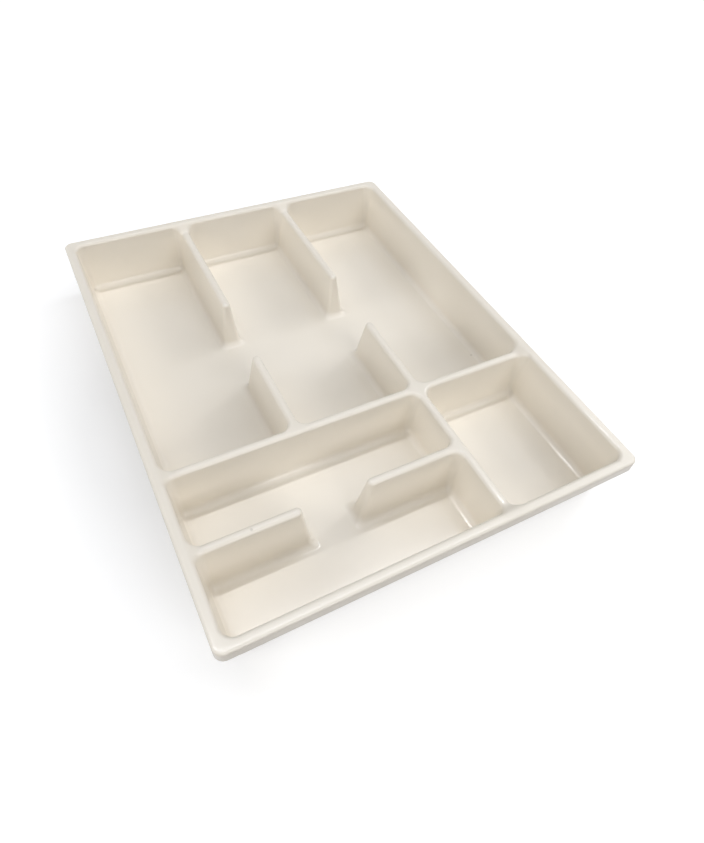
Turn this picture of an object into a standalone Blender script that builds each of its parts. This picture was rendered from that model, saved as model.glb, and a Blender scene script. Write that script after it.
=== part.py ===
"""Drawer organizer insert: a plastic tray moulded in one piece that drops into a desk drawer.

A flat rim runs round a shallow basin. Ridges of the same piece, a little lower than the rim, divide
the basin into a rear well of three columns, a pen well of two slots and an open box. The ridges are
hollow underneath, and the hollows end short of the outer wall.
"""

import math

import bmesh
import bpy
from mathutils import Vector

# Overall sizes, in metres
TRAY_WIDTH = 0.305
TRAY_LENGTH = 0.3884
WELL_DEPTH = 0.0434
THICKNESS = 0.002

# Rim and walls
RIM_WIDTH = 0.0073
RIM_CORNER_RADIUS = 0.0065
WELL_CORNER_RADIUS = 0.0085
LEAST_CORNER_RADIUS = 0.0008
WALL_DRAFT = math.radians(6.3)
TOP_ROUND = 0.0028
FLOOR_ROUND = 0.0055

# Ridges between the compartments
RIDGE_WIDTH = 0.006
RIDGE_DROP = 0.005
RIDGE_RAMP = 0.009
RIDGE_END_DRAFT = math.radians(9.5)
RIDGE_END_RADIUS = 0.0024

# Where the hollow under a ridge ends, from the edge of the rim
HOLLOW_INSET = 0.0305

# Ridge places, from the left and front edges of the rim to the ridge's middle
LEFT_RIDGE_X = 0.1025
RIGHT_RIDGE_X = 0.2007
CROSS_RIDGE_Y = 0.1245
PEN_RIDGE_Y = 0.0659

# Lengths of the part-way ridges, from the rim edge or ridge that they grow out of
BACK_STUB_LENGTH = 0.1229
CROSS_STUB_LENGTH = 0.0788
PEN_LEFT_STUB_LENGTH = 0.0773
PEN_RIGHT_STUB_LENGTH = 0.0749

# How much of the rim's flat and of a ridge's flat top lies inside their construction loops
LIP_SHARE = 0.85
CREST_SHARE = 0.8

# Facets
CORNER_STEPS = 5
TOP_ROUND_STEPS = 3
FLOOR_ROUND_STEPS = 3
LIP_STEP = 0.012

# Finish
IVORY = (0.78, 0.73, 0.655, 1.0)
ROUGHNESS = 0.3
SMOOTH_ANGLE = math.radians(35)

# The flat of the rim ends where the round into the well begins
ROUND_RUN = TOP_ROUND * math.tan((math.pi / 2 - WALL_DRAFT) / 2)
RIM_FLAT = RIM_WIDTH - ROUND_RUN
LIP_INSET = RIM_FLAT * LIP_SHARE
RIDGE_HALF = RIDGE_WIDTH / 2 - RIDGE_DROP * math.tan(WALL_DRAFT)
END_SETBACK = RIDGE_DROP * math.tan(RIDGE_END_DRAFT)

FLOOR_Z = THICKNESS
RIM_Z = WELL_DEPTH + THICKNESS


class Side:
    """One straight wall of a well: a line in plan, its inward direction, its draft and its top."""

    def __init__(self, x=None, y=None, inward=1, draft=WALL_DRAFT, drop=RIDGE_DROP):
        self.along_x = x is None
        self.place = y if self.along_x else x
        self.inward = inward
        self.draft = draft
        self.drop = drop

    def offset(self, ring, below):
        """How far a ring lies inward of the line where the wall meets the rim plane.

        The rounds of the wall's two faces share their centres, so the face that lies below by the
        wall's thickness has a tighter round at the lip and a wider one at the floor.
        """
        slope = math.pi / 2 - self.draft
        kind, share = ring
        if kind == "top":
            centre = self.drop * math.tan(self.draft) - TOP_ROUND * math.tan(slope / 2)
            return centre + (TOP_ROUND - below) * math.sin(slope * share)
        centre = WELL_DEPTH * math.tan(self.draft) + FLOOR_ROUND * math.tan(slope / 2)
        return centre - (FLOOR_ROUND + below) * math.sin(slope * share)

    def fall(self, ring, below):
        """Fall of a ring from the well's lip, or its rise from the floor for a ring of the floor round."""
        kind, share = ring
        level = math.cos((math.pi / 2 - self.draft) * share)
        if kind == "top":
            return TOP_ROUND - (TOP_ROUND - below) * level
        return FLOOR_ROUND - (FLOOR_ROUND + below) * level

    def line(self, ring, below):
        return self.place + self.inward * self.offset(ring, below)


def left_wall():
    return Side(x=RIM_WIDTH, inward=1, drop=0)


def right_wall():
    return Side(x=TRAY_WIDTH - RIM_WIDTH, inward=-1, drop=0)


def front_wall():
    return Side(y=RIM_WIDTH, inward=1, drop=0)


def back_wall():
    return Side(y=TRAY_LENGTH - RIM_WIDTH, inward=-1, drop=0)


def ridge_left(x):
    return Side(x=x - RIDGE_HALF, inward=-1)


def ridge_right(x):
    return Side(x=x + RIDGE_HALF, inward=1)


def ridge_front(y):
    return Side(y=y - RIDGE_HALF, inward=-1)


def ridge_back(y):
    return Side(y=y + RIDGE_HALF, inward=1)


def ridge_end(x=None, y=None, inward=1):
    """The steeper end face of a part-way ridge, given where it meets the ridge's top."""
    shift = -inward * END_SETBACK
    if x is None:
        return Side(y=y + shift, inward=inward, draft=RIDGE_END_DRAFT)
    return Side(x=x + shift, inward=inward, draft=RIDGE_END_DRAFT)


def rear_well():
    """Sides of the rear well, anticlockwise: three columns joined through the gaps in two ridges."""
    sides = [ridge_back(CROSS_RIDGE_Y), right_wall()]
    back_end = TRAY_LENGTH - BACK_STUB_LENGTH
    front_end = CROSS_RIDGE_Y + CROSS_STUB_LENGTH
    for x in (RIGHT_RIDGE_X, LEFT_RIDGE_X):
        sides += [back_wall(), ridge_right(x), ridge_end(y=back_end, inward=-1), ridge_left(x)]
    sides += [back_wall(), left_wall()]
    for x in (LEFT_RIDGE_X, RIGHT_RIDGE_X):
        sides += [ridge_back(CROSS_RIDGE_Y), ridge_left(x), ridge_end(y=front_end), ridge_right(x)]
    return sides


def pen_well():
    """Sides of the pen well, anticlockwise: two slots joined through the gap in one ridge."""
    left_end = PEN_LEFT_STUB_LENGTH
    right_end = RIGHT_RIDGE_X - PEN_RIGHT_STUB_LENGTH
    return [
        front_wall(),
        ridge_left(RIGHT_RIDGE_X),
        ridge_front(PEN_RIDGE_Y),
        ridge_end(x=right_end, inward=-1),
        ridge_back(PEN_RIDGE_Y),
        ridge_left(RIGHT_RIDGE_X),
        ridge_front(CROSS_RIDGE_Y),
        left_wall(),
        ridge_back(PEN_RIDGE_Y),
        ridge_end(x=left_end, inward=1),
        ridge_front(PEN_RIDGE_Y),
        left_wall(),
    ]


def open_box():
    """Sides of the front-right box, anticlockwise."""
    return [front_wall(), right_wall(), ridge_front(CROSS_RIDGE_Y), ridge_right(RIGHT_RIDGE_X)]


def basin():
    """Sides of the outer wall, anticlockwise."""
    return [front_wall(), right_wall(), back_wall(), left_wall()]


def joined_hollow():
    """Sides of the hollow under the cross ridge and all that grows out of it, with the wells on the left."""
    cross_end = CROSS_RIDGE_Y + CROSS_STUB_LENGTH
    pen_end = RIGHT_RIDGE_X - PEN_RIGHT_STUB_LENGTH
    sides = []
    for x in (LEFT_RIDGE_X, RIGHT_RIDGE_X):
        sides += [ridge_back(CROSS_RIDGE_Y), ridge_left(x), ridge_end(y=cross_end), ridge_right(x)]
    return sides + [
        ridge_back(CROSS_RIDGE_Y),
        ridge_end(x=TRAY_WIDTH - HOLLOW_INSET, inward=1),
        ridge_front(CROSS_RIDGE_Y),
        ridge_right(RIGHT_RIDGE_X),
        ridge_end(y=HOLLOW_INSET, inward=-1),
        ridge_left(RIGHT_RIDGE_X),
        ridge_front(PEN_RIDGE_Y),
        ridge_end(x=pen_end, inward=-1),
        ridge_back(PEN_RIDGE_Y),
        ridge_left(RIGHT_RIDGE_X),
        ridge_front(CROSS_RIDGE_Y),
        ridge_end(x=HOLLOW_INSET, inward=-1),
    ]


def pen_hollow():
    """Sides of the hollow under the left pen ridge."""
    return [
        ridge_back(PEN_RIDGE_Y),
        ridge_end(x=PEN_LEFT_STUB_LENGTH, inward=1),
        ridge_front(PEN_RIDGE_Y),
        ridge_end(x=HOLLOW_INSET, inward=-1),
    ]


def back_hollow(x):
    """Sides of the hollow under one of the two ridges that grow out of the back wall."""
    return [
        ridge_right(x),
        ridge_end(y=TRAY_LENGTH - BACK_STUB_LENGTH, inward=-1),
        ridge_left(x),
        ridge_end(y=TRAY_LENGTH - HOLLOW_INSET, inward=1),
    ]


def well_rings():
    """Rings of a well's wall from its lip to its floor, as the share of each round that is turned."""
    top = [("top", step / TOP_ROUND_STEPS) for step in range(TOP_ROUND_STEPS + 1)]
    floor = [("floor", 1 - step / FLOOR_ROUND_STEPS) for step in range(FLOOR_ROUND_STEPS + 1)]
    return top + floor


def corner_points(corner, before, radius, turn):
    """Points of a round corner, from the side before it to the side after it."""
    start = corner - before * radius
    centre = start + turn * before.orthogonal() * radius
    arm = start - centre
    points = []
    for step in range(CORNER_STEPS + 1):
        angle = turn * math.pi / 2 * step / CORNER_STEPS
        points.append(
            (
                centre.x + arm.x * math.cos(angle) - arm.y * math.sin(angle),
                centre.y + arm.x * math.sin(angle) + arm.y * math.cos(angle),
            )
        )
    return points


def corner_radius(sides, ring, lip, below, turn):
    """Radius of a plan corner at one ring: it tightens down a well's corner and opens at a ridge's end."""
    offsets = [side.offset(ring, below) for side in sides]
    if turn > 0:
        return max(WELL_CORNER_RADIUS - sum(offsets) / 2, LEAST_CORNER_RADIUS)
    grown = min(offset - side.offset(lip, below) for offset, side in zip(offsets, sides))
    crest_half = RIDGE_WIDTH / 2 - ROUND_RUN
    return min(crest_half * CREST_SHARE + grown, RIDGE_END_RADIUS)


def ring_points(sides, ring, lip, below):
    """Plan points of one ring, each with its fall from the lip or rise from the floor."""
    count = len(sides)
    corners = []
    for index, side in enumerate(sides):
        following = sides[(index + 1) % count]
        across, along = (following, side) if side.along_x else (side, following)
        corners.append(Vector((across.line(ring, below), along.line(ring, below))))
    points = []
    for index, corner in enumerate(corners):
        pair = (sides[index], sides[(index + 1) % count])
        before = (corner - corners[index - 1]).normalized()
        after = (corners[(index + 1) % count] - corner).normalized()
        turn = 1 if before.cross(after) > 0 else -1
        radius = corner_radius(pair, ring, lip, below, turn)
        falls = [side.fall(ring, below) for side in pair]
        for step, point in enumerate(corner_points(corner, before, radius, turn)):
            share = step / CORNER_STEPS
            points.append((*point, falls[0] + (falls[1] - falls[0]) * share))
    return points


def crest_height(x, y):
    """Top of the tray between the wells: level on the rim, with a ramp down to the lower ridges."""
    insets = (min(x, TRAY_WIDTH - x), min(y, TRAY_LENGTH - y))
    if max(insets) < RIM_WIDTH + WELL_CORNER_RADIUS:
        return RIM_Z
    share = min(max((min(insets) - RIM_FLAT) / RIDGE_RAMP, 0), 1)
    return RIM_Z - RIDGE_DROP * share * share * (3 - 2 * share)


def add_loop(mesh, points):
    """Vertices and edges of a closed loop, placed with the tray's middle on the Z axis."""
    verts = [mesh.verts.new((x - TRAY_WIDTH / 2, y - TRAY_LENGTH / 2, z)) for x, y, z in points]
    edges = [mesh.edges.new((vert, verts[index - 1])) for index, vert in enumerate(verts)]
    return verts, edges


def add_wall(mesh, sides, below):
    """One face of a wall from its lip to the end of its floor round. Returns its first and last loops."""
    rings = well_rings()
    lip = rings[0]
    tops = [crest_height(x, y) for x, y, _ in ring_points(sides, lip, lip, below)]
    loops = []
    for ring in rings:
        points = []
        for (x, y, fall), top in zip(ring_points(sides, ring, lip, below), tops):
            points.append((x, y, top - fall if ring[0] == "top" else FLOOR_Z + fall))
        loops.append(add_loop(mesh, points))
    for (upper, _), (lower, _) in zip(loops, loops[1:]):
        for index, vert in enumerate(lower):
            mesh.faces.new((upper[index - 1], upper[index], vert, lower[index - 1]))
    return loops[0], loops[-1]


def rim_loop(inset, radius, z, step=None):
    """A round-cornered loop at one inset from the rim's edge, with points along its straights if asked."""
    x0, x1 = inset, TRAY_WIDTH - inset
    y0, y1 = inset, TRAY_LENGTH - inset
    points = []
    for number, (x, y) in enumerate(((x1, y0), (x1, y1), (x0, y1), (x0, y0))):
        centre_x = x - math.copysign(radius, x - TRAY_WIDTH / 2)
        centre_y = y - math.copysign(radius, y - TRAY_LENGTH / 2)
        for turn in range(CORNER_STEPS + 1):
            angle = math.pi / 2 * (number - 1 + turn / CORNER_STEPS)
            points.append((centre_x + radius * math.cos(angle), centre_y + radius * math.sin(angle), z))
    if step is None:
        return points
    dense = []
    for index, (x, y, z) in enumerate(points):
        next_x, next_y, _ = points[(index + 1) % len(points)]
        cuts = max(round(math.hypot(next_x - x, next_y - y) / step), 1)
        for cut in range(cuts):
            share = cut / cuts
            dense.append((x + (next_x - x) * share, y + (next_y - y) * share, z))
    return dense


def fill(mesh, edges):
    bmesh.ops.triangle_fill(mesh, edges=edges, use_beauty=True, normal=(0, 0, 1))


def add_upper_face(mesh):
    """The flat rim, the ridge tops and the three wells. Returns the rim's outer loop."""
    outline, edge = add_loop(mesh, rim_loop(0, RIM_CORNER_RADIUS, RIM_Z))
    _, lip = add_loop(mesh, rim_loop(LIP_INSET, RIM_CORNER_RADIUS, RIM_Z, LIP_STEP))
    well_lips = []
    for sides in (rear_well(), pen_well(), open_box()):
        (_, well_lip), (floor, _) = add_wall(mesh, sides, 0)
        well_lips += well_lip
        mesh.faces.new(floor)
    fill(mesh, edge + lip)
    fill(mesh, lip + well_lips)
    return outline


def add_lower_face(mesh):
    """The underside of the rim, the outer wall, the base and the ridges' hollows. Returns the outer loop."""
    outline, edge = add_loop(mesh, rim_loop(0, RIM_CORNER_RADIUS, RIM_Z - THICKNESS))
    (_, lip), (_, base) = add_wall(mesh, basin(), THICKNESS)
    fill(mesh, edge + lip)
    for sides in (joined_hollow(), pen_hollow(), back_hollow(LEFT_RIDGE_X), back_hollow(RIGHT_RIDGE_X)):
        (roof, _), (_, mouth) = add_wall(mesh, sides, THICKNESS)
        mesh.faces.new(roof)
        base += mouth
    fill(mesh, base)
    return outline


def moulded_body():
    """The whole tray: its two faces, and the edge of the rim between them."""
    mesh = bmesh.new()
    upper = add_upper_face(mesh)
    lower = add_lower_face(mesh)
    for index, vert in enumerate(upper):
        mesh.faces.new((upper[index - 1], vert, lower[index], lower[index - 1]))
    bmesh.ops.recalc_face_normals(mesh, faces=mesh.faces)
    return mesh


def ivory_plastic():
    material = bpy.data.materials.new("ivory_plastic")
    material.use_nodes = True
    shader = material.node_tree.nodes["Principled BSDF"]
    shader.inputs["Base Color"].default_value = IVORY
    shader.inputs["Roughness"].default_value = ROUGHNESS
    shader.inputs["Metallic"].default_value = 0.0
    return material


def make_tray():
    data = bpy.data.meshes.new("tray")
    mesh = moulded_body()
    mesh.to_mesh(data)
    mesh.free()
    data.shade_smooth()
    data.set_sharp_from_angle(angle=SMOOTH_ANGLE)
    data.materials.append(ivory_plastic())
    tray = bpy.data.objects.new("tray", data)
    bpy.context.scene.collection.objects.link(tray)
    return tray


def clear_scene():
    for obj in list(bpy.data.objects):
        bpy.data.objects.remove(obj, do_unlink=True)


clear_scene()
make_tray()
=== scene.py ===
"""Looks of the drawer organizer insert: the smooth moulded tray, its ivory finish and a plain studio."""

import math

import bmesh
import bpy
from mathutils import Matrix, Vector
from mathutils.geometry import delaunay_2d_cdt
from mathutils.kdtree import KDTree


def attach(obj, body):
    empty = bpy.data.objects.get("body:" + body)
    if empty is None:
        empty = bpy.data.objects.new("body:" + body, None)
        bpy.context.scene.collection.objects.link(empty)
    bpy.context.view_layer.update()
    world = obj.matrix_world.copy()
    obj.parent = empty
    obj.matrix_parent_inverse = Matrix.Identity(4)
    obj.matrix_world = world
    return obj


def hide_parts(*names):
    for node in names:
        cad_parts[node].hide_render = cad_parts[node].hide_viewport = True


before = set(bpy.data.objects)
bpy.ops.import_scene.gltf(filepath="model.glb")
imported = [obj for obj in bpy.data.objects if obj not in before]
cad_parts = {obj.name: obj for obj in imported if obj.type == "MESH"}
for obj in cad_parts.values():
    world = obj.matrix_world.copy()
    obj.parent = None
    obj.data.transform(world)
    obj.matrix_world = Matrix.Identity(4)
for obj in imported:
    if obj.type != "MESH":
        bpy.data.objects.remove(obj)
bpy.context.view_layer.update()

# Overall sizes of the tray, in metres
TRAY_WIDTH = 0.305
TRAY_LENGTH = 0.3884
WELL_DEPTH = 0.0434
THICKNESS = 0.002

# Rim and walls
RIM_WIDTH = 0.0073
RIM_CORNER_RADIUS = 0.0065
WELL_CORNER_RADIUS = 0.0085
LEAST_CORNER_RADIUS = 0.0008
WALL_DRAFT = math.radians(6.3)
TOP_ROUND = 0.0028
FLOOR_ROUND = 0.0055
EDGE_ROUND = 0.0003

# The rim's edge is turned down: height of its lip and round of its upper corner
LIP_HEIGHT = 0.0098
RIM_ROUND = 0.0015

# Ridges between the compartments
RIDGE_WIDTH = 0.006
RIDGE_DROP = 0.005
RIDGE_RAMP = 0.009
RIDGE_END_DRAFT = math.radians(9.5)
RIDGE_END_RADIUS = 0.004

# A ridge end's corner radius at its crest, as a share of half the crest's flat
CREST_SHARE = 0.8

# Where the hollow under a ridge ends, from the edge of the rim
HOLLOW_INSET = 0.0305

# Ridge places, from the left and front edges of the rim to the ridge's middle
LEFT_RIDGE_X = 0.1025
RIGHT_RIDGE_X = 0.2007
CROSS_RIDGE_Y = 0.1245
PEN_RIDGE_Y = 0.0659

# Lengths of the part-way ridges, from the rim's edge or the middle of the ridge that they grow out of
BACK_STUB_LENGTH = 0.1229
CROSS_STUB_LENGTH = 0.0788
PEN_LEFT_STUB_LENGTH = 0.0787
PEN_RIGHT_STUB_LENGTH = 0.0737

# Smoothness of the mesh
CORNER_STEPS = 16
ROUND_STEPS = 9
EDGE_STEPS = 3
STRAIGHT_STEP = 0.003
WALL_SHARES = (0.02, 0.25, 0.5, 0.75, 0.98)
SUPPORT = 0.0006
JUNCTION_STEP = 0.001
JUNCTION_HALF = 0.012

# How a face with holes is filled: inside its loops only, and points this near are one
INSIDE_ONLY = 1
WELD = 1e-7

# Worked out: the rim's flat, a ridge's half width and end setback in the rim's plane, and two heights
ROUND_RUN = TOP_ROUND * math.tan((math.pi / 2 - WALL_DRAFT) / 2)
RIM_FLAT = RIM_WIDTH - ROUND_RUN
RIDGE_HALF = RIDGE_WIDTH / 2 - RIDGE_DROP * math.tan(WALL_DRAFT)
END_SETBACK = RIDGE_DROP * math.tan(RIDGE_END_DRAFT)
FLOOR_Z = THICKNESS
RIM_Z = WELL_DEPTH + THICKNESS

# Colours and gloss of the plastic, and the part of a noise's range that it uses
IVORY = (0.86, 0.808, 0.72, 1)
IVORY_WARM = (0.848, 0.793, 0.698, 1)
ROUGHNESS = 0.38
ROUGHNESS_LESS = 0.03
ROUGHNESS_MORE = 0.04
NOISE_LOW = 0.3
NOISE_HIGH = 0.7

# Noise scales of the plastic, per metre, and heights and strengths of its relief
MOTTLE_SCALE = 14.0
GLOSS_SCALE = 45.0
PEEL_SCALE = 900.0
RIPPLE_SCALE = 22.0
PEEL_HEIGHT = 0.0002
PEEL_STRENGTH = 0.02
RIPPLE_HEIGHT = 0.002
RIPPLE_STRENGTH = 0.05

# Two small marks, placed from the left and front edges of the rim
SPECK_PLACE = (0.2884, 0.1657)
SCUFF_PLACE = (0.0455, 0.0655)
MARK_RADIUS = 0.0012
MARK_STRENGTH = 0.3
MARK_COLOUR = (0.30, 0.26, 0.21, 1)

# Floor: half its width, its height, its gloss, and its colours as seen and for scattered light
WHITE = (1, 1, 1, 1)
FLOOR_HALF = 4.0
GROUND_Z = -0.0002
FLOOR_ROUGHNESS = 0.9
FLOOR_SEEN = (0.6, 0.6, 0.603, 1)
FLOOR_SCATTER = (0.2, 0.165, 0.135, 1)

# The floor's own glow as seen, with a painted shadow in it: the glow is lowest round a place by the tray's
# left side, stretched along Y
PAINTED_SHADOW_MIDDLE = (-0.165, 0, 0)
PAINTED_SHADOW_STRETCH = (1, 0.35, 0)
PAINTED_SHADOW_NEAR = 0.02
PAINTED_SHADOW_FAR = 0.09
GLOW_IN_PAINTED_SHADOW = 0.41
GLOW_HIGH = 0.61

# Ceiling tubes: height, shares of it for how far behind they hang and how wide they are, and colour
TUBE_HEIGHT = 8.0
TUBE_BEHIND = 0.31
TUBE_WIDTH = 0.02
TUBE_COLOUR = (0.97, 1.0, 1.06)

# Each tube's place across and length, as shares of the height, and its power in watts
TUBES = {"tube": (0.1, 1.0, 195), "side_tube": (1.4, 0.4, 220)}

# Soft panels aimed at the tray: azimuth and elevation in degrees, size in metres and power in watts
PANEL_DISTANCE = 2.5
PANELS = {
    "overhead": (-98, 77, (3.6, 3.0), 22),
    "left_low": (180, 18, (1.4, 1.0), 23),
    "front_low": (-80, 30, (1.4, 0.8), 18),
    "right_high": (0, 42, (1.8, 1.4), 15),
}

# Strength of the white world as a light, where 1 is its strength as seen
WORLD_LIGHT = 0.01

# Camera, in the tray's frame
CAMERA_PLACE = (-0.1554, -0.3039, 0.3697)
CAMERA_FORWARD = (0.33818, 0.53123, -0.77681)
CAMERA_ROLL = math.radians(6.59)
CAMERA_LENS = 25.62


class Side:
    """One straight wall of a well: a line in plan, its inward direction, its draft and its top."""

    def __init__(self, x=None, y=None, inward=1, draft=WALL_DRAFT, drop=RIDGE_DROP):
        self.along_x = x is None
        self.place = y if self.along_x else x
        self.inward = inward
        self.draft = draft
        self.drop = drop

    def offset(self, ring, below):
        """How far a ring lies inward of the line where the wall meets the rim plane."""
        slope = math.pi / 2 - self.draft
        kind, share = ring
        if kind == "top":
            centre = self.drop * math.tan(self.draft) - TOP_ROUND * math.tan(slope / 2)
            return centre + (TOP_ROUND - below) * math.sin(slope * share)
        centre = WELL_DEPTH * math.tan(self.draft) + FLOOR_ROUND * math.tan(slope / 2)
        if kind == "inner":
            return centre + share
        return centre - (FLOOR_ROUND + below) * math.sin(slope * share)

    def fall(self, ring, below):
        """Fall of a ring from the well's lip, or its rise from the floor for a ring of the floor round."""
        kind, share = ring
        if kind == "inner":
            return -below
        level = math.cos((math.pi / 2 - self.draft) * share)
        if kind == "top":
            return TOP_ROUND - (TOP_ROUND - below) * level
        return FLOOR_ROUND - (FLOOR_ROUND + below) * level

    def line(self, ring, below):
        return self.place + self.inward * self.offset(ring, below)


def left_wall():
    return Side(x=RIM_WIDTH, inward=1, drop=0)


def right_wall():
    return Side(x=TRAY_WIDTH - RIM_WIDTH, inward=-1, drop=0)


def front_wall():
    return Side(y=RIM_WIDTH, inward=1, drop=0)


def back_wall():
    return Side(y=TRAY_LENGTH - RIM_WIDTH, inward=-1, drop=0)


def ridge_left(x):
    return Side(x=x - RIDGE_HALF, inward=-1)


def ridge_right(x):
    return Side(x=x + RIDGE_HALF, inward=1)


def ridge_front(y):
    return Side(y=y - RIDGE_HALF, inward=-1)


def ridge_back(y):
    return Side(y=y + RIDGE_HALF, inward=1)


def ridge_end(x=None, y=None, inward=1):
    """The more slanted end face of a ridge or its hollow, given where it meets the ridge's top."""
    shift = -inward * END_SETBACK
    if x is None:
        return Side(y=y + shift, inward=inward, draft=RIDGE_END_DRAFT)
    return Side(x=x + shift, inward=inward, draft=RIDGE_END_DRAFT)


def rear_well():
    """Sides of the rear well, anticlockwise: three columns joined through the gaps in two ridges."""
    sides = [ridge_back(CROSS_RIDGE_Y), right_wall()]
    back_end = TRAY_LENGTH - BACK_STUB_LENGTH
    front_end = CROSS_RIDGE_Y + CROSS_STUB_LENGTH
    for x in (RIGHT_RIDGE_X, LEFT_RIDGE_X):
        sides += [back_wall(), ridge_right(x), ridge_end(y=back_end, inward=-1), ridge_left(x)]
    sides += [back_wall(), left_wall()]
    for x in (LEFT_RIDGE_X, RIGHT_RIDGE_X):
        sides += [ridge_back(CROSS_RIDGE_Y), ridge_left(x), ridge_end(y=front_end), ridge_right(x)]
    return sides


def pen_well():
    """Sides of the pen well, anticlockwise: two slots joined through the gap in one ridge."""
    left_end = PEN_LEFT_STUB_LENGTH
    right_end = RIGHT_RIDGE_X - PEN_RIGHT_STUB_LENGTH
    return [
        front_wall(),
        ridge_left(RIGHT_RIDGE_X),
        ridge_front(PEN_RIDGE_Y),
        ridge_end(x=right_end, inward=-1),
        ridge_back(PEN_RIDGE_Y),
        ridge_left(RIGHT_RIDGE_X),
        ridge_front(CROSS_RIDGE_Y),
        left_wall(),
        ridge_back(PEN_RIDGE_Y),
        ridge_end(x=left_end, inward=1),
        ridge_front(PEN_RIDGE_Y),
        left_wall(),
    ]


def open_box():
    """Sides of the front-right box, anticlockwise."""
    return [front_wall(), right_wall(), ridge_front(CROSS_RIDGE_Y), ridge_right(RIGHT_RIDGE_X)]


def basin():
    """Sides of the outer wall, anticlockwise."""
    return [front_wall(), right_wall(), back_wall(), left_wall()]


def joined_hollow():
    """Sides of the hollow under the cross ridge and the ridges that grow out of it."""
    cross_end = CROSS_RIDGE_Y + CROSS_STUB_LENGTH
    pen_end = RIGHT_RIDGE_X - PEN_RIGHT_STUB_LENGTH
    sides = []
    for x in (LEFT_RIDGE_X, RIGHT_RIDGE_X):
        sides += [ridge_back(CROSS_RIDGE_Y), ridge_left(x), ridge_end(y=cross_end), ridge_right(x)]
    return sides + [
        ridge_back(CROSS_RIDGE_Y),
        ridge_end(x=TRAY_WIDTH - HOLLOW_INSET, inward=1),
        ridge_front(CROSS_RIDGE_Y),
        ridge_right(RIGHT_RIDGE_X),
        ridge_end(y=HOLLOW_INSET, inward=-1),
        ridge_left(RIGHT_RIDGE_X),
        ridge_front(PEN_RIDGE_Y),
        ridge_end(x=pen_end, inward=-1),
        ridge_back(PEN_RIDGE_Y),
        ridge_left(RIGHT_RIDGE_X),
        ridge_front(CROSS_RIDGE_Y),
        ridge_end(x=HOLLOW_INSET, inward=-1),
    ]


def pen_hollow():
    """Sides of the hollow under the left pen ridge."""
    return [
        ridge_back(PEN_RIDGE_Y),
        ridge_end(x=PEN_LEFT_STUB_LENGTH, inward=1),
        ridge_front(PEN_RIDGE_Y),
        ridge_end(x=HOLLOW_INSET, inward=-1),
    ]


def back_hollow(x):
    """Sides of the hollow under one of the two ridges that grow out of the back wall."""
    return [
        ridge_right(x),
        ridge_end(y=TRAY_LENGTH - BACK_STUB_LENGTH, inward=-1),
        ridge_left(x),
        ridge_end(y=TRAY_LENGTH - HOLLOW_INSET, inward=1),
    ]


def corner_radius(sides, ring, below, turn):
    """Radius of a plan corner at one ring: it tightens down a well's corner and opens at a ridge's end."""
    offsets = [side.offset(ring, below) for side in sides]
    if turn > 0:
        return max(WELL_CORNER_RADIUS - sum(offsets) / 2, LEAST_CORNER_RADIUS)
    lip = ("top", 0)
    grown = min(offset - side.offset(lip, below) for offset, side in zip(offsets, sides))
    crest_half = RIDGE_WIDTH / 2 - ROUND_RUN
    return min(crest_half * CREST_SHARE + grown, RIDGE_END_RADIUS)


def corner_arc(corner, before, radius, turn, falls):
    """Points of one corner as (x, y, fall, lean). Lean is 1 in a corner's middle and 0 at its ends."""
    start = corner - before * radius
    centre = start + turn * before.orthogonal() * radius
    arm = start - centre
    points = []
    for step in range(CORNER_STEPS + 1):
        share = step / CORNER_STEPS
        x, y = centre + Matrix.Rotation(turn * math.pi / 2 * share, 2) @ arm
        fall = falls[0] + (falls[1] - falls[0]) * share
        points.append(Vector((x, y, fall, 1 - (2 * share - 1) ** 4)))
    return points


def ring_arcs(sides, ring, below):
    """The corners of one ring, in order."""
    count = len(sides)
    corners = []
    for index, side in enumerate(sides):
        following = sides[(index + 1) % count]
        across, along = (following, side) if side.along_x else (side, following)
        corners.append(Vector((across.line(ring, below), along.line(ring, below))))
    arcs = []
    for index, corner in enumerate(corners):
        pair = (sides[index], sides[(index + 1) % count])
        before = (corner - corners[index - 1]).normalized()
        after = (corners[(index + 1) % count] - corner).normalized()
        turn = 1 if before.cross(after) > 0 else -1
        radius = corner_radius(pair, ring, below, turn)
        arcs.append(corner_arc(corner, before, radius, turn, [side.fall(ring, below) for side in pair]))
    return arcs


def straight_cuts(arcs):
    """Into how many stretches each straight is cut."""
    cuts = []
    for index, arc in enumerate(arcs):
        gap = arcs[(index + 1) % len(arcs)][0].xy - arc[-1].xy
        cuts.append(max(round(gap.length / STRAIGHT_STEP), 1))
    return cuts


def ring_points(arcs, cuts):
    """One ring's points in order: each corner, then the straight up to the next."""
    points = []
    for index, arc in enumerate(arcs):
        points += arc
        end = arcs[(index + 1) % len(arcs)][0]
        points += [arc[-1].lerp(end, cut / cuts[index]) for cut in range(1, cuts[index])]
    return points


def crest_height(x, y):
    """Top of the tray between the wells: level on the rim, with a ramp down to the lower ridges."""
    insets = (min(x, TRAY_WIDTH - x), min(y, TRAY_LENGTH - y))
    if max(insets) < RIM_WIDTH + WELL_CORNER_RADIUS:
        return RIM_Z
    share = min(max((min(insets) - RIM_FLAT) / RIDGE_RAMP, 0), 1)
    return RIM_Z - RIDGE_DROP * share * share * (3 - 2 * share)


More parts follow.
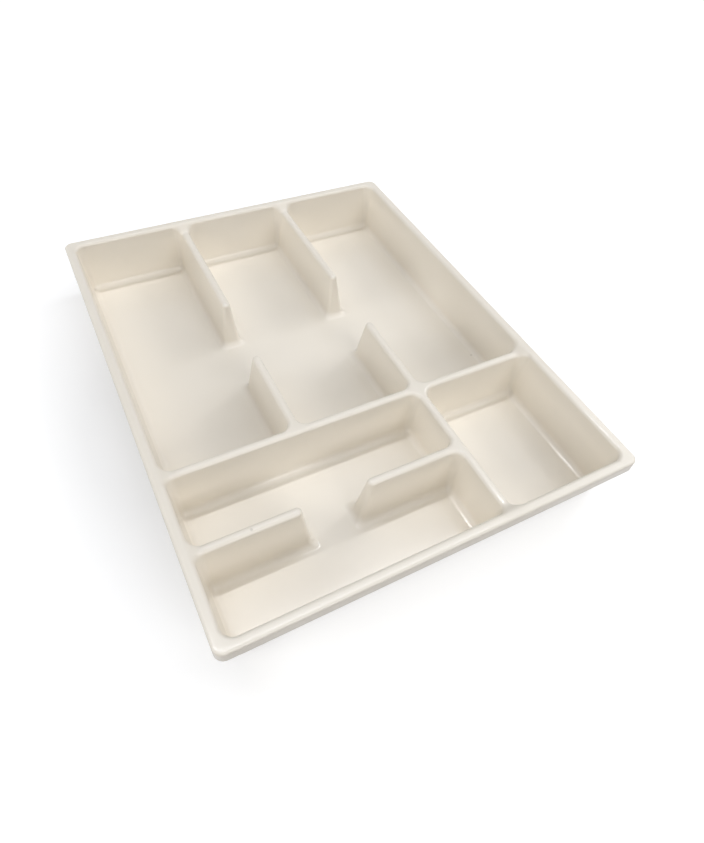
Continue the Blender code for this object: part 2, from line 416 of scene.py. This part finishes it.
def well_rings(sides, below):
    """The rings of a well from its lip to its floor, as points in the plan's own frame."""
    cuts = straight_cuts(ring_arcs(sides, ("top", 0), 0))
    shares = [step / ROUND_STEPS for step in range(ROUND_STEPS + 1)]
    lip = ring_points(ring_arcs(sides, ("top", 0), below), cuts)
    top, floor = [], []
    for share in shares:
        ring = []
        points = ring_points(ring_arcs(sides, ("top", share), below), cuts)
        for start, (x, y, fall, lean) in zip(lip, points):
            crest = crest_height(start.x + (x - start.x) * lean, start.y + (y - start.y) * lean)
            ring.append(Vector((x, y, crest - fall)))
        top.append(ring)
    for kind in [("floor", share) for share in reversed(shares)] + [("inner", SUPPORT)]:
        points = ring_points(ring_arcs(sides, kind, below), cuts)
        floor.append([Vector((x, y, FLOOR_Z + rise)) for x, y, rise, _ in points])
    wall = [[a.lerp(b, share) for a, b in zip(top[-1], floor[0])] for share in WALL_SHARES]
    return top + wall + floor


def add_loop(mesh, points):
    """Vertices of a loop, placed with the tray's middle on the Z axis."""
    return [mesh.verts.new((x - TRAY_WIDTH / 2, y - TRAY_LENGTH / 2, z)) for x, y, z in points]


def bridge(mesh, upper, lower):
    """Faces between two closed loops that have as many points as each other."""
    for index, vert in enumerate(lower):
        mesh.faces.new((upper[index - 1], upper[index], vert, lower[index - 1]))


def add_wall(mesh, sides, below):
    """One face of a wall, lip to floor. Returns its first and last loops, as points and vertices."""
    rings = well_rings(sides, below)
    loops = [add_loop(mesh, ring) for ring in rings]
    for upper, lower in zip(loops, loops[1:]):
        bridge(mesh, upper, lower)
    return (rings[0], loops[0]), (rings[-1], loops[-1])


def rim_loop(inset, z):
    """A round-cornered loop at one inset from the rim's edge, cut along its straights."""
    radius = RIM_CORNER_RADIUS - inset
    arcs = []
    for number, (side_x, side_y) in enumerate(((1, -1), (1, 1), (-1, 1), (-1, -1))):
        x = TRAY_WIDTH / 2 + side_x * (TRAY_WIDTH / 2 - RIM_CORNER_RADIUS)
        y = TRAY_LENGTH / 2 + side_y * (TRAY_LENGTH / 2 - RIM_CORNER_RADIUS)
        turns = [math.pi / 2 * (number - 1 + step / CORNER_STEPS) for step in range(CORNER_STEPS + 1)]
        arcs.append([Vector((x + radius * math.cos(t), y + radius * math.sin(t), z, 0)) for t in turns])
    cuts = [round(side / STRAIGHT_STEP) for side in (TRAY_LENGTH, TRAY_WIDTH) * 2]
    return [Vector(point[:3]) for point in ring_points(arcs, cuts)]


def rim_edge():
    """Loops over the rim's turned-down edge, from its upper face round to the rim's underside."""
    turns = [math.pi / 2 * step / EDGE_STEPS for step in range(EDGE_STEPS + 1)]
    over = [(RIM_ROUND * (1 - math.sin(t)), RIM_ROUND * (1 - math.cos(t))) for t in turns]
    outer = [(EDGE_ROUND * (1 - math.cos(t)), LIP_HEIGHT - EDGE_ROUND * (1 - math.sin(t))) for t in turns]
    inner = [(THICKNESS - inset, fall) for inset, fall in reversed(outer)]
    root = [(THICKNESS, THICKNESS + SUPPORT), (THICKNESS + SUPPORT, THICKNESS)]
    profile = [(RIM_ROUND + SUPPORT, 0)] + over + [(0, RIM_ROUND + SUPPORT)] + outer + inner + root
    return [rim_loop(inset, RIM_Z - fall) for inset, fall in profile]


def junction_points(lips):
    """A fine grid where each ridge runs up into the rim, clear of the wells' lips."""
    tree = KDTree(sum(len(lip) for lip in lips))
    for index, point in enumerate(point for lip in lips for point in lip):
        tree.insert((point.x, point.y, 0), index)
    tree.balance()
    across = round(JUNCTION_HALF / JUNCTION_STEP)
    inward = round((RIDGE_RAMP + WELL_CORNER_RADIUS) / JUNCTION_STEP)
    places = []
    for step in range(inward):
        inset = RIM_FLAT + step * JUNCTION_STEP
        for side_step in range(-across, across + 1):
            shift = side_step * JUNCTION_STEP
            places += [(x + shift, TRAY_LENGTH - inset) for x in (LEFT_RIDGE_X, RIGHT_RIDGE_X)]
            places += [(inset, y + shift) for y in (CROSS_RIDGE_Y, PEN_RIDGE_Y)]
            places += [(TRAY_WIDTH - inset, CROSS_RIDGE_Y + shift), (RIGHT_RIDGE_X + shift, inset)]
    return [place for place in places if tree.find((*place, 0))[2] > JUNCTION_STEP / 2]


def fill(mesh, outer, holes, places=()):
    """A face between an outer loop and the loops inside it. Places are on the tray's upper side."""
    loops = [outer] + holes
    points = [point.xy for ring, _ in loops for point in ring]
    verts = [vert for _, loop in loops for vert in loop]
    indices = []
    for ring, _ in loops:
        start = sum(len(part) for part in indices)
        indices.append(list(range(start, start + len(ring))))
    inside = [Vector(place) for place in places]
    made = add_loop(mesh, [(x, y, crest_height(x, y)) for x, y in inside])
    _, _, faces, sources, _, owners = delaunay_2d_cdt(points + inside, [], indices, INSIDE_ONLY, WELD)
    for face, owner in zip(faces, owners):
        if list(owner) == [0]:
            mesh.faces.new([(verts + made)[sources[index][0]] for index in face])


def add_upper_face(mesh, edge):
    """The flat rim, the ridge tops and the three wells, inside the rim's edge."""
    lips = []
    for sides in (rear_well(), pen_well(), open_box()):
        lip, floor = add_wall(mesh, sides, 0)
        mesh.faces.new(floor[1])
        lips.append(lip)
    fill(mesh, edge, lips, junction_points([ring for ring, _ in lips]))


def add_lower_face(mesh, edge):
    """The underside of the rim, the outer wall, the base and the ridges' hollows."""
    lip, base = add_wall(mesh, basin(), THICKNESS)
    fill(mesh, edge, [lip])
    mouths = []
    for sides in (joined_hollow(), pen_hollow(), back_hollow(LEFT_RIDGE_X), back_hollow(RIGHT_RIDGE_X)):
        roof, mouth = add_wall(mesh, sides, THICKNESS)
        fill(mesh, roof, [])
        mouths.append(mouth)
    fill(mesh, base, mouths)


def moulded_body():
    """The whole tray: its upper and lower faces, and the edge of the rim between them."""
    mesh = bmesh.new()
    edge = rim_edge()
    edge_loops = [add_loop(mesh, loop) for loop in edge]
    for upper, lower in zip(edge_loops, edge_loops[1:]):
        bridge(mesh, upper, lower)
    add_upper_face(mesh, (edge[0], edge_loops[0]))
    add_lower_face(mesh, (edge[-1], edge_loops[-1]))
    bmesh.ops.recalc_face_normals(mesh, faces=mesh.faces)
    return mesh


def make_tray():
    data = bpy.data.meshes.new("tray_body")
    mesh = moulded_body()
    mesh.to_mesh(data)
    mesh.free()
    data.shade_smooth()
    data.materials.append(ivory_plastic())
    tray = bpy.data.objects.new("tray_body", data)
    bpy.context.scene.collection.objects.link(tray)
    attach(tray, "root")
    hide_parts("tray")


class Shading:
    """The nodes of a material or of the world, made and linked by name."""

    def __init__(self, owner, shader="Principled BSDF"):
        owner.use_nodes = True
        self.owner = owner
        self.tree = owner.node_tree
        self.nodes = self.tree.nodes
        self.shader = self.nodes[shader]

    def add(self, kind, links=(), **settings):
        node = self.nodes.new(kind)
        for key, value in settings.items():
            setattr(node, key, value)
        self.link(node, links)
        return node

    def link(self, node, links):
        for socket, value in dict(links).items():
            if isinstance(value, bpy.types.NodeSocket):
                self.tree.links.new(value, node.inputs[socket])
            else:
                node.inputs[socket].default_value = value

    def seen(self):
        """1 where the camera looks, directly, by reflection or through glass, and 0 for scattered light."""
        rays = self.add("ShaderNodeLightPath").outputs
        mirrored = self.math("MAXIMUM", rays["Is Glossy Ray"], rays["Is Transmission Ray"])
        return self.math("MAXIMUM", rays["Is Camera Ray"], mirrored)

    def noise(self, place, scale, detail):
        links = {"Vector": place, "Scale": scale, "Detail": detail}
        return self.add("ShaderNodeTexNoise", links).outputs["Fac"]

    def ramp(self, value, low, high, start=0.0, end=1.0):
        links = {"Value": value, "From Min": low, "From Max": high, "To Min": start, "To Max": end}
        return self.add("ShaderNodeMapRange", links).outputs["Result"]

    def math(self, operation, first, second):
        return self.add("ShaderNodeMath", {0: first, 1: second}, operation=operation).outputs["Value"]

    def mix(self, share, first, second):
        """A colour between two. The node's colour sockets share their names, so they go by number."""
        node = self.add("ShaderNodeMix", data_type="RGBA")
        self.link(node, {"Factor": share, 6: first, 7: second})
        return node.outputs[2]

    def spot(self, place, centre, radius):
        """1 in a spot round a plan place, 0 outside it."""
        middle = (centre[0] - TRAY_WIDTH / 2, centre[1] - TRAY_LENGTH / 2, 0)
        flat = self.add("ShaderNodeVectorMath", {0: place, 1: (1, 1, 0)}, operation="MULTIPLY")
        links = {0: flat.outputs["Vector"], 1: middle}
        away = self.add("ShaderNodeVectorMath", links, operation="DISTANCE").outputs["Value"]
        return self.ramp(away, radius, radius / 2)


def ivory_plastic():
    """Satin ivory plastic: a faint mottle, uneven gloss, orange peel, a slow ripple and two marks."""
    look = Shading(bpy.data.materials.new("ivory_plastic"))
    place = look.add("ShaderNodeTexCoord").outputs["Object"]
    mottle = look.ramp(look.noise(place, MOTTLE_SCALE, detail=4.0), NOISE_LOW, NOISE_HIGH)
    colour = look.mix(mottle, IVORY, IVORY_WARM)
    speck, scuff = [look.spot(place, centre, MARK_RADIUS) for centre in (SPECK_PLACE, SCUFF_PLACE)]
    faint = look.math("MULTIPLY", look.math("MAXIMUM", speck, scuff), MARK_STRENGTH)
    colour = look.mix(faint, colour, MARK_COLOUR)
    shine = look.noise(place, GLOSS_SCALE, detail=3.0)
    spread = (ROUGHNESS - ROUGHNESS_LESS, ROUGHNESS + ROUGHNESS_MORE)
    rough = look.ramp(shine, NOISE_LOW, NOISE_HIGH, *spread)
    peel = look.noise(place, PEEL_SCALE, detail=1.0)
    ripple = look.noise(place, RIPPLE_SCALE, detail=1.0)
    links = {"Height": peel, "Strength": PEEL_STRENGTH, "Distance": PEEL_HEIGHT}
    fine = look.add("ShaderNodeBump", links).outputs["Normal"]
    links = {"Height": ripple, "Strength": RIPPLE_STRENGTH, "Distance": RIPPLE_HEIGHT, "Normal": fine}
    slow = look.add("ShaderNodeBump", links).outputs["Normal"]
    look.link(look.shader, {"Base Color": colour, "Roughness": rough, "Normal": slow})
    look.link(look.shader, {"IOR": 1.5, "Specular IOR Level": 0.45})
    look.link(look.shader, {"Coat Weight": 0.4, "Coat Roughness": 0.12, "Coat IOR": 1.5})
    return look.owner


def make_floor():
    """A wide floor that keeps the tray's shadow and glows so that it looks white away from it. Its glow
    dims by the tray's left side, a painted shadow.
    """
    data = bpy.data.meshes.new("floor")
    mesh = bmesh.new()
    bmesh.ops.create_grid(mesh, x_segments=1, y_segments=1, size=FLOOR_HALF)
    mesh.to_mesh(data)
    mesh.free()
    look = Shading(bpy.data.materials.new("floor_white"))
    seen = look.seen()
    place = look.add("ShaderNodeTexCoord").outputs["Object"]
    # Painted shadow: the glow as seen is dimmed round a place by the tray's left side, which deepens the
    # shadow there
    flat = look.add("ShaderNodeVectorMath", {0: place, 1: PAINTED_SHADOW_STRETCH}, operation="MULTIPLY")
    links = {0: flat.outputs["Vector"], 1: PAINTED_SHADOW_MIDDLE}
    away = look.add("ShaderNodeVectorMath", links, operation="DISTANCE").outputs["Value"]
    glow_and_painted_shadow = look.ramp(away, PAINTED_SHADOW_NEAR, PAINTED_SHADOW_FAR, GLOW_IN_PAINTED_SHADOW, GLOW_HIGH)
    colour = look.mix(seen, FLOOR_SCATTER, FLOOR_SEEN)
    look.link(look.shader, {"Base Color": colour, "Roughness": FLOOR_ROUGHNESS})
    strength = look.math("MULTIPLY", seen, glow_and_painted_shadow)
    look.link(look.shader, {"Emission Color": WHITE, "Emission Strength": strength})
    data.materials.append(look.owner)
    floor = bpy.data.objects.new("floor", data)
    floor.location.z = GROUND_Z
    bpy.context.scene.collection.objects.link(floor)


def place_light(name, place, facing, size, power):
    data = bpy.data.lights.new(name, "AREA")
    data.shape = "RECTANGLE"
    data.size, data.size_y = size
    data.energy = power
    light = bpy.data.objects.new(name, data)
    light.location = place
    light.rotation_euler = facing.to_euler()
    bpy.context.scene.collection.objects.link(light)
    return data


def panel_light(name, azimuth, elevation, size, power):
    """A soft rectangular light aimed at the tray's middle. Azimuth is measured from +X towards +Y."""
    turn = math.radians(azimuth)
    rise = math.radians(elevation)
    level = math.cos(rise)
    towards = Vector((level * math.cos(turn), level * math.sin(turn), math.sin(rise)))
    place_light(name, towards * PANEL_DISTANCE, towards.to_track_quat("Z", "Y"), size, power)


def make_lights():
    """Two narrow ceiling tubes for crisp shadows, and soft panels over and round the tray."""
    for name, (across, length, power) in TUBES.items():
        place = Vector((across, TUBE_BEHIND, 1)) * TUBE_HEIGHT
        size = (length * TUBE_HEIGHT, TUBE_WIDTH * TUBE_HEIGHT)
        tube = place_light(name, place, Matrix.Identity(3), size, power)
        tube.color = TUBE_COLOUR
    for name, (azimuth, elevation, size, power) in PANELS.items():
        panel_light(name, azimuth, elevation, size, power)


def make_world():
    """White to look at, and next to no light of its own."""
    look = Shading(bpy.data.worlds.new("studio"), "Background")
    strength = look.ramp(look.seen(), 0, 1, WORLD_LIGHT, 1)
    look.link(look.shader, {"Color": WHITE, "Strength": strength})
    bpy.context.scene.world = look.owner


def make_camera():
    data = bpy.data.cameras.new("camera")
    data.lens = CAMERA_LENS
    camera = bpy.data.objects.new("camera", data)
    level = Vector(CAMERA_FORWARD).to_track_quat("-Z", "Y").to_matrix()
    turned = level @ Matrix.Rotation(CAMERA_ROLL, 3, "Z")
    camera.matrix_world = Matrix.Translation(CAMERA_PLACE) @ turned.to_4x4()
    bpy.context.scene.collection.objects.link(camera)
    bpy.context.scene.camera = camera


make_tray()
make_floor()
make_lights()
make_world()
make_camera()
bpy.context.scene.view_settings.view_transform = "Standard"
